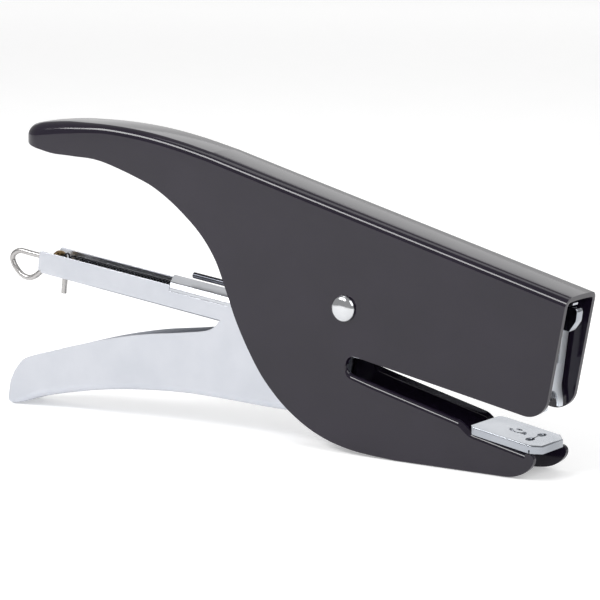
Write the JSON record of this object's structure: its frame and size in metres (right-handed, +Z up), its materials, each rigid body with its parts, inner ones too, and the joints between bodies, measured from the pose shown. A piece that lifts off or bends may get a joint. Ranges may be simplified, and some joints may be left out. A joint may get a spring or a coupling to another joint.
{
  "type": "plier stapler",
  "caption": "Hand-squeezed plier stapler: folded black steel body with an open paper throat, bright squeeze lever, swinging staple magazine with a ring-pull rod, and a sliding driver.",
  "frame": {"origin": "middle of the footprint (the bounding box), on the surface the stapler stands on", "axes": "+X from the handles to the stapling head, +Y across the width to the far side, +Z up"},
  "size_m": [0.1891, 0.0198, 0.0842],
  "materials": {
    "black_enamel": "glossy black enamel on folded steel",
    "nickel_plate": "bright nickel plating",
    "bright_steel": "plain bright steel",
    "dark_spring_steel": "oil-blackened spring wire",
    "brass": "plain brass"
  },
  "bodies": {
    "frame": {"body_shell": "black_enamel", "anvil_plate": "nickel_plate", "pivot_rivet": "nickel_plate", "pivot_sleeve": "bright_steel", "washer_near": "bright_steel", "washer_far": "bright_steel"},
    "lever": {"squeeze_lever": "nickel_plate"},
    "magazine": {"magazine_channel": "nickel_plate", "magazine_cover": "nickel_plate", "nose_plate": "nickel_plate", "staple_strip": "bright_steel", "return_spring": "dark_spring_steel"},
    "driver": {"driver_blade": "bright_steel", "driver_tongue": "nickel_plate", "tongue_rivet": "bright_steel"},
    "pusher_rod": {"guide_rod": "nickel_plate", "rod_collar": "brass", "rod_end_washer": "brass", "pusher_spring": "dark_spring_steel"},
    "pusher": {"staple_pusher": "bright_steel"}
  },
  "joints": [
    {"name": "lever_squeeze", "type": "hinge", "parent": "frame", "child": "lever", "pos_m": [0.02755, 0, 0.0392], "axis": [0, 1, 0], "range_deg": [0, 14.3], "stiffness_Nm_per_rad": 1.5, "springref_deg": -22.92},
    {"name": "magazine_swing", "type": "hinge", "parent": "frame", "child": "magazine", "pos_m": [0.02755, 0, 0.0392], "axis": [0, 1, 0], "range_deg": [0, 7.8]},
    {"name": "driver_stroke", "type": "slide", "parent": "magazine", "child": "driver", "axis": [-0.1262, 0, -0.992], "range_m": [0, 0.007]},
    {"name": "rod_pull", "type": "slide", "parent": "magazine", "child": "pusher_rod", "axis": [-0.992, 0, 0.1262], "range_m": [0, 0.12]},
    {"name": "pusher_slide", "type": "slide", "parent": "pusher_rod", "child": "pusher", "axis": [0.992, 0, -0.1262], "range_m": [0, 0.0235], "stiffness_N_per_m": 20, "springref_m": 0.12, "deforming": ["pusher_spring", "staple_strip"]}
  ],
  "couplings": [
    {"joint": "magazine_swing", "follows": "lever_squeeze", "ratio": 0.5454},
    {"joint": "driver_stroke", "follows": "lever_squeeze", "m_per_rad": 0.02804}
  ]
}
